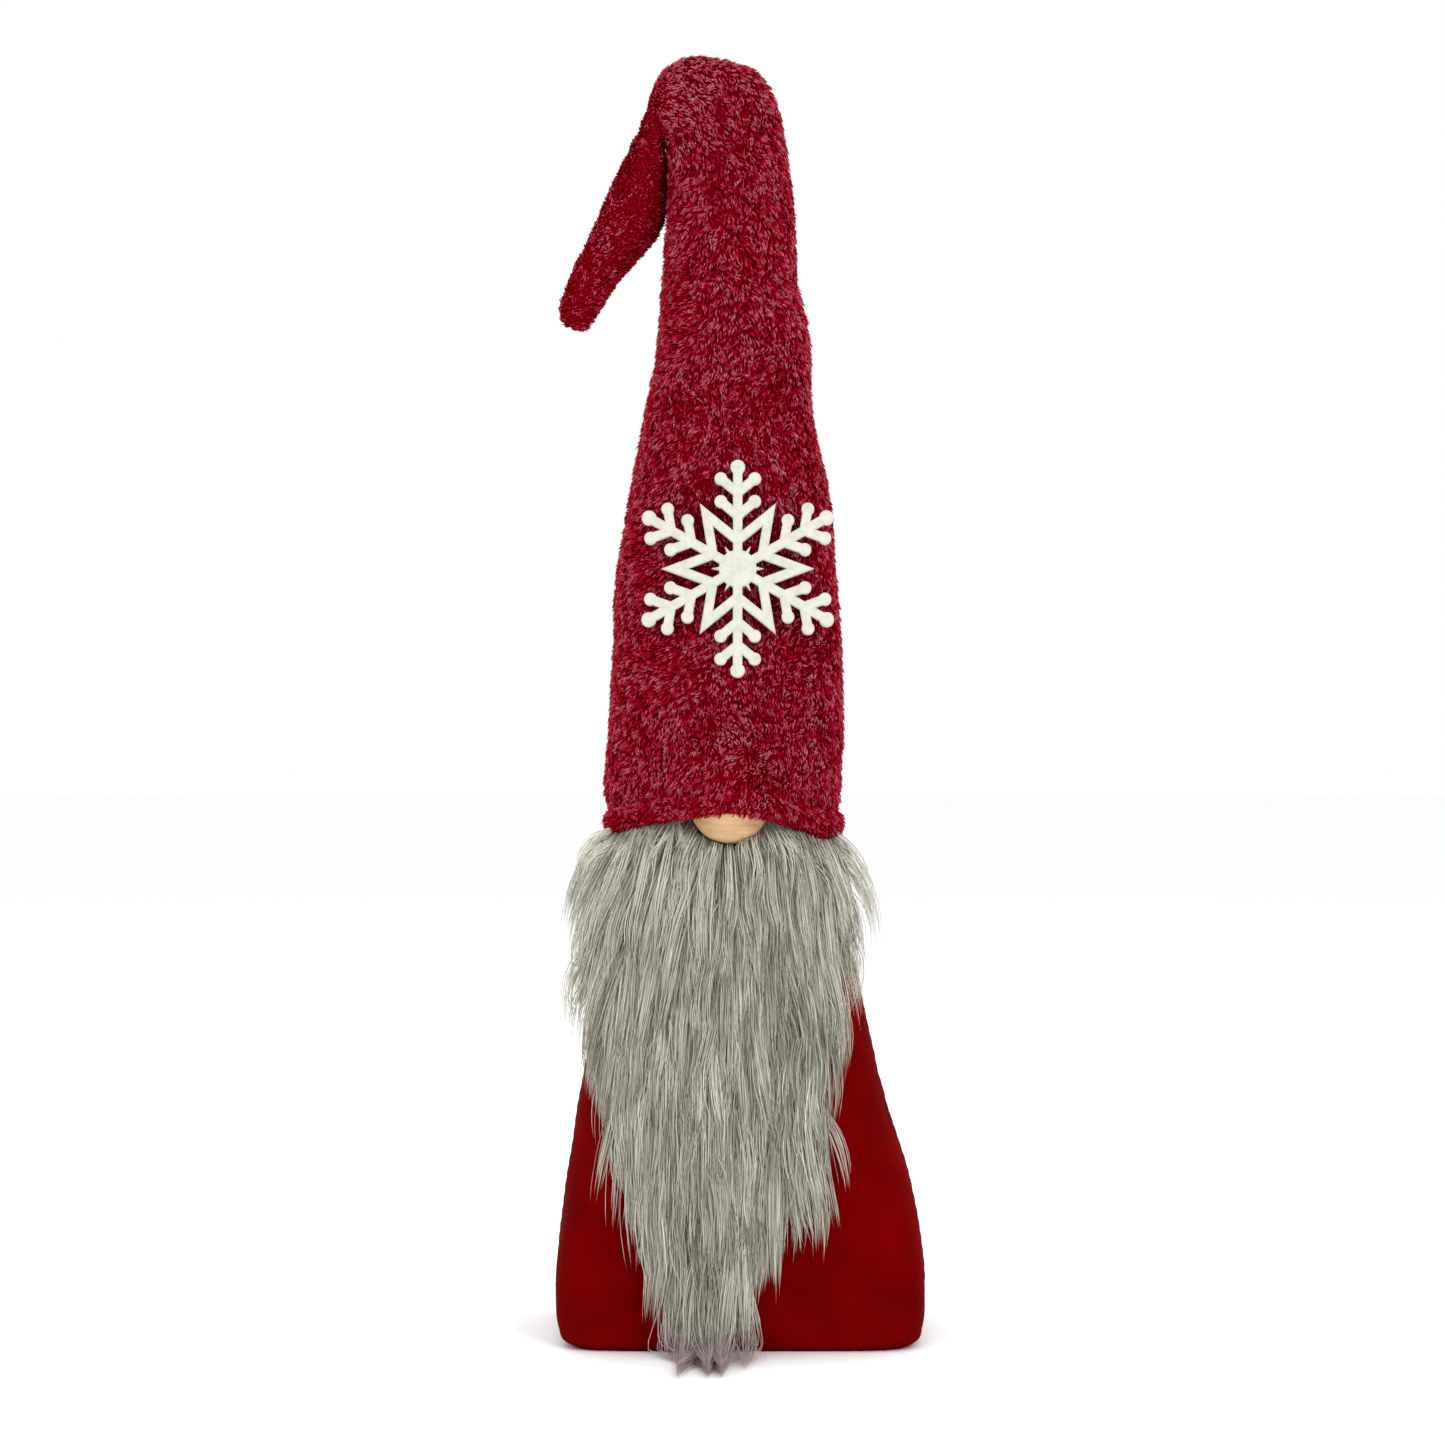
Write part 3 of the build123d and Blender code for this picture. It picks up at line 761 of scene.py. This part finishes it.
def plush_tones(root, rings, tuft):
    """Tones of the plush: paler on top and at the bend (frosted pile with a painted highlight),
    painted shade on the upper half of the tip.
    """
    tuft_tone = random.normal(0, 0.75, PLUSH_COUNT)[tuft]
    level = PLUSH_LEVEL + ripple(root, 0.010, 8) * 0.8 + random.normal(0, 0.7, PLUSH_COUNT)
    level += tuft_tone
    # painted shade: the tip hangs in the shadow of the bend and is darker, most of all on its upper
    # half
    level -= 1.1 * smoothstep(tip_start - 2, tip_start + 6, rings)
    level += 0.5 * smoothstep(tip_start + 22, tip_start + 40, rings)
    # paler plush on top of the fold and on the bulge of the bend: frosted pile with a painted
    # highlight
    level += 0.6 * smoothstep(0.435, 0.462, root[:, 2])
    from_bend = np.linalg.norm((root - BEND_SIDE) * np.array([1, 0.5, 1]), axis=1)
    level += 1.5 * bell(from_bend, 0.012) * (rings < tip_start)
    level -= 0.3 * smoothstep(0.198, 0.190, root[:, 2])
    return pick_tones(level[:, None] + np.array([[-1.0, 0.6]]), len(PLUSH_TONES))


covered = np.concatenate([lining[-PILE_UNDER:], hat])
tip_start = split + PILE_UNDER
paths, fibre_root, fibre_ring, fibre_tuft = plush_paths(
    covered, grid_normals(covered), hat_angles
)
tones = plush_tones(fibre_root, fibre_ring, fibre_tuft)
widths = random.uniform(*PLUSH_WIDTH, PLUSH_COUNT) * MM


def plush_piece(name, group):
    """A piece of plush made of the numbered fibres."""
    mesh = fibre_mesh(name, paths[group], widths[group], tones[group], plush_fibres)
    plush = link(name, mesh)
    return plush


cone_fibres = np.flatnonzero(fibre_ring < tip_start)
for index, group in enumerate(np.array_split(cone_fibres, PLUSH_SPLIT)):
    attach(plush_piece(f"hat_plush_{index + 1}", group), "figure")
tip_plush = plush_piece("hat_tip_plush", np.flatnonzero(fibre_ring >= tip_start))
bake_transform(tip_plush)

# ---- body: velour front and back, joined by side seams, and the base cover ----
# height, left edge, right edge, half depth, squareness
BODY_RINGS = (
    (0.4, -62.0, 62.0, 44.4, 8.0),
    (2.0, -64.4, 64.6, 46.0, 8.0),
    (6.0, -66.2, 66.4, 47.0, 7.4),
    (18.0, -67.5, 67.5, 47.9, 6.6),
    (31.0, -66.8, 66.4, 47.9, 5.8),
    (45.0, -65.2, 64.5, 47.0, 5.0),
    (58.0, -63.5, 62.1, 46.0, 4.4),
    (71.0, -61.1, 58.1, 44.6, 3.9),
    (85.0, -59.2, 53.4, 42.8, 3.5),
    (98.0, -56.6, 49.8, 41.4, 3.4),
    (112.0, -53.8, 46.6, 39.8, 3.2),
    (130.0, -51.2, 42.8, 37.4, 3.1),
    (150.0, -48.8, 38.0, 35.2, 2.9),
    (170.0, -46.6, 34.6, 33.6, 2.8),
    (190.0, -45.0, 31.8, 32.8, 2.8),
    (206.0, -43.4, 30.6, 31.8, 2.8),
    (215.0, -41.0, 29.0, 30.4, 2.7),
)
BODY_ROWS = 170
BODY_AROUND = 240
BODY_MEAN_RADIUS = 0.05  # turns an angle at a side seam into a distance from it
BODY_PUFF = 1.8  # mm, the most that the filling pushes the cloth
VELOUR_THICK = 1.2  # mm


def body_form():
    """Rings of the body's outside, and how near each place is to a side seam."""
    rings = np.array(BODY_RINGS)
    heights = np.concatenate([np.linspace(0.4, 8, 14)[:-1], np.linspace(8, 215, BODY_ROWS)])
    smooth = through(rings[:, 0], rings[:, 1:], heights)
    angles = np.linspace(0, 2 * math.pi, BODY_AROUND, endpoint=False)
    size = bulge(angles[None, :], smooth[:, 3:4])
    centre, half = (smooth[:, 0] + smooth[:, 1]) / 2, (smooth[:, 1] - smooth[:, 0]) / 2
    x = centre[:, None] + half[:, None] * size * np.cos(angles)
    y = smooth[:, 2:3] * size * np.sin(angles)
    z = np.broadcast_to(heights[:, None], x.shape)
    seam = np.abs((angles + math.pi / 2) % math.pi - math.pi / 2)[None, :] * BODY_MEAN_RADIUS
    return np.stack([x, y, z], axis=-1) * MM, np.broadcast_to(seam, x.shape)


def shape_body(grid, seam):
    """Side seams gathered by their thread, the cloth puffed beside them, and soft dents."""
    normals = grid_normals(grid)
    gather = 1 + 0.14 * np.sin(grid[..., 2] / MM * 1.3)
    groove = bell(seam, 0.0018) * 0.0002 * gather
    puff = bell(seam - 0.0055, 0.004) * 0.0007 * gather
    soft = ripple(grid, 0.05, 11) * 0.0009 + ripple(grid, 0.013, 12) * 0.00022
    pulls = ripple(grid * np.array([3.0, 3.0, 0.5]), 0.03, 13) * 0.00035
    low = smoothstep(0.0, 0.012, grid[..., 2])
    return grid + normals * ((soft + pulls) * low + puff - groove)[..., None]


body_plain, body_seam = body_form()
body_sewn = (body_seam < 0.0012) | (body_plain[..., 2] < 0.004) | (body_plain[..., 2] > 0.19)
body_grid = shape_body(stuffed(body_plain, body_sewn, BODY_PUFF * MM), body_seam)


def body_panel(name, cad_node, first):
    """One velour panel, from seam to seam, as a closed sheet."""
    columns = np.arange(first, first + BODY_AROUND // 2 + 1) % BODY_AROUND
    piece = link(name, sheet_mesh(name, body_grid[:, columns], VELOUR_THICK * MM))
    piece.data.materials.append(velour)
    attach(piece, "figure")
    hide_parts(cad_node)


body_panel("body_front_velour", "body_front_panel", BODY_AROUND // 2)
body_panel("body_back_velour", "body_back_panel", 0)

# share of the way out from the middle, and height, of the base cover's section
BASE_PROFILE = (
    (0.90, 1.30),
    (0.992, 1.30),
    (0.997, 0.60),
    (0.982, 0.05),
    (0.93, 0.0),
    (0.60, 0.10),
    (0.20, 0.15),
)


def base_velour():
    """The base cover: a slightly padded flat sheet that turns up into the seam."""
    rings = []
    edge = body_grid[0]
    middle_point = edge.mean(axis=0)
    for share, height in BASE_PROFILE:
        ring = middle_point + (edge - middle_point) * share
        ring[:, 2] = height * MM
        rings.append(ring)
    return np.array(rings)


base_piece = link("base_velour", tube_mesh("base_velour", base_velour()))
base_piece.data.materials.append(velour)
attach(base_piece, "figure")
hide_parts("base_cover")

# ---- beard ----
# height, left and right edge of the backing that the fur is rooted in
BACKING_EDGE = (
    (44.0, -22.0, -2.0),
    (50.0, -26.0, 4.0),
    (56.0, -29.5, 8.5),
    (71.0, -35.5, 15.5),
    (85.0, -41.0, 22.5),
    (100.0, -45.0, 28.0),
    (115.0, -47.5, 29.5),
    (135.0, -49.0, 29.5),
    (155.0, -49.0, 30.0),
    (172.0, -48.0, 31.5),
    (187.0, -45.0, 31.0),
    (197.0, -28.0, 20.0),
)
BACKING_BOTTOM = 46  # the backing's own lower end; the table goes on for the lowest fur
BACKING_TOP = 197
BACKING_THICK = 0.9  # mm
HEM_PRESS = 0.010  # height below the hem in which the fur comes out from under it
CARRIER_GAP = 1.8  # mm in front of the body's rings
CARRIER_EDGE = 0.96  # share of the half width where it stops curving back
SKIRT_GAP = 2.5  # mm in front of the body's rings, at the middle
SKIRT_WIDER = 24  # mm that the skirt is wider than the body, on each side
SKIRT_EDGE = 0.86  # share of its half width where it stops curving back
SKIRT_POWER = 2.2  # squareness of its section
SKIRT_TUCKED = 0.45  # what is left of its depth under the hem


def columns_at(table, heights):
    """The columns of a table after its first, read at other heights."""
    table = np.array(table)
    return [np.interp(heights, table[:, 0], column) for column in table[:, 1:].T]


def below_hem(x, z):
    """0 at the hem and above it, 1 where the fur is free of it."""
    hem = HEM_HEIGHT + hem_lift(x)
    return smoothstep(-hem, -hem + HEM_PRESS, -z)


def carrier(x, z):
    """Front surface, in metres, that the beard lies on: the body, and a wider skirt past it."""
    left, right, depth, power = columns_at(BODY_RINGS, z / MM)
    half = (right - left) / 2
    away = np.abs(x / MM - (left + right) / 2)
    across = np.minimum(away / half, CARRIER_EDGE)
    body = depth * (1 - across**power) ** (1 / power) + CARRIER_GAP
    wide = np.minimum(away / (half + SKIRT_WIDER), SKIRT_EDGE)
    skirt = (depth + SKIRT_GAP) * (1 - wide**SKIRT_POWER) ** (1 / SKIRT_POWER)
    skirt = skirt * (SKIRT_TUCKED + (1 - SKIRT_TUCKED) * below_hem(x, z))
    return -np.maximum(body, skirt) * MM


def backing_sheet():
    """The knitted backing, a curved sheet over the front of the body."""
    heights = np.linspace(BACKING_BOTTOM, BACKING_TOP, 90)
    left, right = columns_at(BACKING_EDGE, heights)
    across = np.linspace(0, 1, 60)
    x = (left[:, None] + (right - left)[:, None] * across) * MM
    z = np.broadcast_to(heights[:, None], x.shape) * MM
    return np.stack([x, carrier(x, z) - 0.0002, z], axis=-1)


backing = link("beard_knit", sheet_mesh("beard_knit", backing_sheet(), BACKING_THICK * MM))
backing.data.materials.append(knit)
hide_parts("beard_backing")
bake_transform(backing)

FUR_COUNT = 25000
FUR_POINTS = 9
FUR_SPLIT = 6
FUR_WIDTH = (0.26, 0.52)  # mm
FUR_LEVEL = 3.1  # mean place among the tones
LOCK_COUNT = 1150
LOCK_LENGTH = (26, 44)  # mm
LOCK_RISE = (2.5, 10.0)  # mm
LOCK_TILT = (-1.25, 1.05)  # the most that a lock leans to each side, in radians
LOCK_PULL = 0.55  # how far the ends of its fibres draw together
STRAY_SHARE = 0.14  # of the locks at the upper side edges, which stand out and are shorter


def fur_roots(count):
    """Even random roots on the backing, x and z in millimetres."""
    x = random.uniform(-54, 42, count * 3)
    z = random.uniform(BACKING_EDGE[0][0], BACKING_TOP, count * 3)
    left, right = columns_at(BACKING_EDGE, z)
    inside = np.flatnonzero((x > left) & (x < right))[:count]
    return np.stack([x[inside], z[inside]], axis=1)


def fur_heading(x, z):
    """Angle of the hanging fur from straight down, positive to the right."""
    high = smoothstep(85, 180, z)
    top = smoothstep(165, 190, z)
    low = 1 - smoothstep(50, 95, z)
    out = (x - nose_middle.x / MM) / 46
    splay = np.sign(out) * np.abs(out) ** 0.75 * (0.03 + 0.74 * high + 0.38 * top)
    splay *= np.where(out > 0, 0.85, 1.0)
    fringe = bell(np.hypot((x - 26) / 9, (z - 90) / 14), 1) * 0.35
    return splay + fringe - (x + 10) * 0.004 * low


roots = fur_roots(FUR_COUNT)
locks = fur_roots(LOCK_COUNT)
lock_x, lock_z = locks.T
lock_top = smoothstep(150, 185, lock_z)
lock_low = smoothstep(60, 50, lock_z) * (smoothstep(-25, -21, lock_x) * smoothstep(3, -2, lock_x))
lock_left, lock_right = columns_at(BACKING_EDGE, lock_z)
lock_inside = np.minimum(lock_x - lock_left, lock_right - lock_x)
lock_edge = np.exp(-lock_inside / 5) * smoothstep(130, 105, lock_z)
lock_heading = fur_heading(lock_x, lock_z)
lock_heading += random.normal(0, 0.15, LOCK_COUNT) * (1 + 0.6 * lock_top)
lock_length = random.uniform(*LOCK_LENGTH, LOCK_COUNT) + 9 * lock_edge + 42 * lock_low
lock_tone = random.normal(0, 0.75, LOCK_COUNT)
lock_curl = random.normal(0, 0.15, LOCK_COUNT)
lock_height = random.uniform(*LOCK_RISE, LOCK_COUNT) * (1 + 0.6 * lock_top)
stray = (random.random(LOCK_COUNT) < STRAY_SHARE) & (lock_inside < 5) & (lock_z > 148)
lock_heading[stray] += random.uniform(0.08, 0.34, stray.sum()) * np.sign(lock_x[stray])
lock_heading = np.clip(lock_heading, *LOCK_TILT)
lock_length[stray] *= 0.85


def nearest_lock(points, chunk=3000):
    """The lock that each root belongs to. Locks are taller than wide."""
    found = []
    for start in range(0, len(points), chunk):
        gap = points[start : start + chunk, None] - locks[None]
        found.append(np.argmin(gap[..., 0] ** 2 * 2.2 + gap[..., 1] ** 2 * 0.5, axis=1))
    return np.concatenate(found)


def hang(x, z, heading, length, curl, height):
    """Paths of fibres in x, z and distance in front of the carrier, all in millimetres."""
    steps = FUR_POINTS - 1
    places = [np.stack([x, z, np.full_like(x, 0.4)], axis=1)]
    for step in range(steps):
        share = (step + 0.5) / steps
        angle = heading * (1 - share) ** 0.85 + curl * math.sin(share * 5.0)
        run = length / steps
        rise = height * (math.exp(-share * 4.2) * 4.2 - 0.30 * share) / steps
        move = np.stack([np.sin(angle) * run, -np.cos(angle) * run, rise], axis=1)
        places.append(places[-1] + move)
    return np.stack(places, axis=1)


def fur_paths():
    """Fibres that hang over the carrier and gather into locks, in millimetres."""
    heading = lock_heading[fur_lock] + random.normal(0, 0.12, FUR_COUNT)
    length = lock_length[fur_lock] * random.uniform(0.70, 1.06, FUR_COUNT)
    height = lock_height[fur_lock] * random.uniform(0.6, 1.1, FUR_COUNT)
    curl = lock_curl[fur_lock] + random.normal(0, 0.02, FUR_COUNT)
    own = hang(*roots.T, heading, length, curl, height)
    centre = hang(lock_x, lock_z, lock_heading, lock_length, lock_curl, lock_height)[fur_lock]
    share = np.linspace(0, 1, FUR_POINTS)[None, :, None]
    paths = own - (own - centre) * (LOCK_PULL * share**1.3)
    # along their length the fibres keep most of their own places
    paths[..., 1] = own[..., 1] * 0.7 + paths[..., 1] * 0.3
    return paths


# locks that lie on the floor: x where they come down, x and y where they end
FLOOR_LOCKS = (
    (-22.5, -23.0, -70.0),
    (-17.5, -23.5, -99.0),
    (-11.0, -11.5, -98.5),
    (-6.5, -7.0, -97.5),
    (0.5, 1.0, -86.0),
)
FLOOR_FRAY = (0.66, 1.0)  # share of the lock's length that its fibres reach
FLOOR_GATHER = 0.86  # how far the fibres draw in to the middle of their lock
FLOOR_LOCK_HALF = 0.004  # fibres further than this from its middle are its shortest
FLOOR_FULL = 0.012  # a fibre needs this much length to spare to reach its full share
FLOOR_BEND = 0.004  # height in which a fibre turns from hanging to lying
FLOOR_LAYERS = (0.0006, 0.0050)  # heights at which fibres lie
FLOOR_TINT = 0.006  # fibres lower than this have the tone of the floor locks
NOSE_GAP = 0.0008
FUR_PRESSED = 0.08  # what is left of the fur's thickness under the hem


def lay_forward(x, y, under, sinks):
    """Turns the part of each fibre that would sink below the floor forward, into its lock."""
    table = np.array(FLOOR_LOCKS) * MM
    gap = np.abs(x[:, -1:] - table[None, :, 0])
    lock = np.argmin(gap, axis=1)
    centred = 1 - np.clip(gap[np.arange(len(x)), lock] / FLOOR_LOCK_HALF, 0, 1)
    low, high = FLOOR_FRAY
    reach = low + (high - low) * centred * random.uniform(0.80, 1, len(x))
    reach *= np.clip(under[:, -1] / FLOOR_FULL, 0, 1) * sinks
    share = under / under[:, -1:] * reach[:, None]
    x = x + (table[lock, 1][:, None] - x) * share * FLOOR_GATHER
    y = y + (table[lock, 2][:, None] - y) * share
    return x, y


def lay_down(paths):
    """From millimetres over the carrier to metres in space, kept off the nose and the floor."""
    x, z, off = (paths[..., k] * MM for k in range(3))
    layer = random.uniform(*FLOOR_LAYERS, len(x))[:, None]
    sinks = z[:, -1] < layer[:, 0]
    under = np.logaddexp(0, (layer - z) / FLOOR_BEND) * FLOOR_BEND
    level = z + under
    off = off * (FUR_PRESSED + (1 - FUR_PRESSED) * below_hem(x, z))
    x, y = lay_forward(x, carrier(x, level) - off, under, sinks)
    space = np.stack([x, y, level], axis=-1)
    ball = np.array(nose_middle)
    from_ball = space - ball
    distance = np.linalg.norm(from_ball, axis=-1, keepdims=True)
    clear = nose_radius + NOSE_GAP
    return np.where(distance < clear, ball + from_ball / distance * clear, space)


def fur_tones(space):
    """Tone of each stretch of fur: painted shade at the roots and round the nose, pale at the ends.
    """
    level = (
        FUR_LEVEL
        + lock_tone[fur_lock]
        + random.normal(0, 0.75, FUR_COUNT)
        + ripple(space[:, 0], 0.03, 21) * 0.7
        + 0.7 * smoothstep(140, 175, roots[:, 1])
        + 0.5 * smoothstep(95, 65, roots[:, 1])
    )
    # painted shade at the roots, under the hem and in the gaps between locks; the ends are paler
    root_shade_and_pale_tips = np.linspace(-1.1, 0.6, FUR_POINTS - 1)[None, :]
    x, z = space[:, 1:, 0], space[:, 1:, 2]
    from_nose = np.hypot(x - nose_middle.x, z - nose_middle.z) - nose_radius
    # painted shadow in a band round the outline of the nose
    shade = 1.9 * bell(np.maximum(from_nose, 0), 0.0022)
    tones = pick_tones(level[:, None] + root_shade_and_pale_tips - shade, len(FUR_TONES))
    tones[z < FLOOR_TINT] = len(FUR_TONES)
    return tones


fur_lock = nearest_lock(roots)
fur_space = lay_down(fur_paths())
fur_width = random.uniform(*FUR_WIDTH, FUR_COUNT) * MM
fur_tone = fur_tones(fur_space)
order = np.argsort(fur_space[:, 0, 0] + random.normal(0, 0.006, FUR_COUNT))
for index, group in enumerate(np.array_split(order, FUR_SPLIT)):
    name = f"beard_fur_{index + 1}"
    mesh = fibre_mesh(name, fur_space[group], fur_width[group], fur_tone[group], fur_fibres)
    piece = link(name, mesh)
    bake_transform(piece)
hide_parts("beard_pile")

# ---- CAD pieces that keep their shape ----
CAD_MATERIALS = {
    "base_board": card,
    "ballast_bag": cotton,
    "ballast_pellets": pellet_plastic,
    "body_filling": filling,
    "neck_tie": velour,
    "hat_filling": filling,
    "hat_wire": steel,
    "hat_glue_bead": glue,
    "hat_tip_wire": steel,
    "beard_root": knit,
    "beard_glue": glue,
    "nose": wood,
    "nose_glue": glue,
    "snowflake": flake_paint,
    "snowflake_glue": glue,
}
for cad_name, finish in CAD_MATERIALS.items():
    cad_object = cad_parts[cad_name]
    for material_slot in cad_object.material_slots:
        material_slot.link = "OBJECT"
        material_slot.material = finish


# ---- floor ----
FLOOR_RADIUS = 9.0
FLOOR_AROUND = 96


def floor_disc():
    """Flat pale floor, wide enough to meet the white backdrop at eye level."""
    points = [(0, 0, 0)]
    for step in range(FLOOR_AROUND):
        angle = step / FLOOR_AROUND * 2 * math.pi
        points.append((FLOOR_RADIUS * math.cos(angle), FLOOR_RADIUS * math.sin(angle), 0))
    faces = [(0, 1 + step, 1 + (step + 1) % FLOOR_AROUND) for step in range(FLOOR_AROUND)]
    return mesh_from_faces("floor", points, faces)


floor = link("floor", floor_disc())
floor.data.materials.append(floor_paint)
